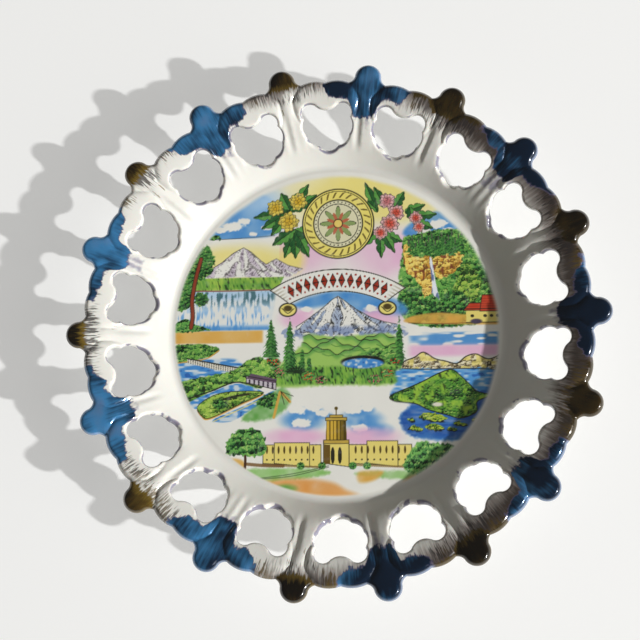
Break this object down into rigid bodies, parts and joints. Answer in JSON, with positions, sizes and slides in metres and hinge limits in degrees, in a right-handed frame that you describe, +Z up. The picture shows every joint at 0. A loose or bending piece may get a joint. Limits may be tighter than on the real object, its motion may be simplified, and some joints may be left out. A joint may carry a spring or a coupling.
{
  "type": "souvenir plate",
  "caption": "Round porcelain souvenir plate with a pierced, scalloped rim, lustred knobs and a fired picture on its floor.",
  "frame": {"origin": "centre of the circle that the foot ring stands on", "axes": "+Z up along the plate's axis; +Y towards the picture's upper edge and the hanging holes; +X through a blue knob"},
  "size_m": [0.2104, 0.2074, 0.026],
  "materials": {
    "porcelain": "glossy",
    "bare_porcelain": "matte",
    "picture_transfer": "glossy",
    "blue_lustre": "glossy",
    "brown_lustre": "glossy"
  },
  "bodies": {
    "root": {"well_floor": "porcelain", "curved_wall": "porcelain", "foot_ring": "bare_porcelain", "picture_film": "picture_transfer", "rim_ribs": "porcelain", "rim_arches": "porcelain", "blue_knobs": "blue_lustre", "brown_knobs": "brown_lustre"}
  },
  "joints": []
}
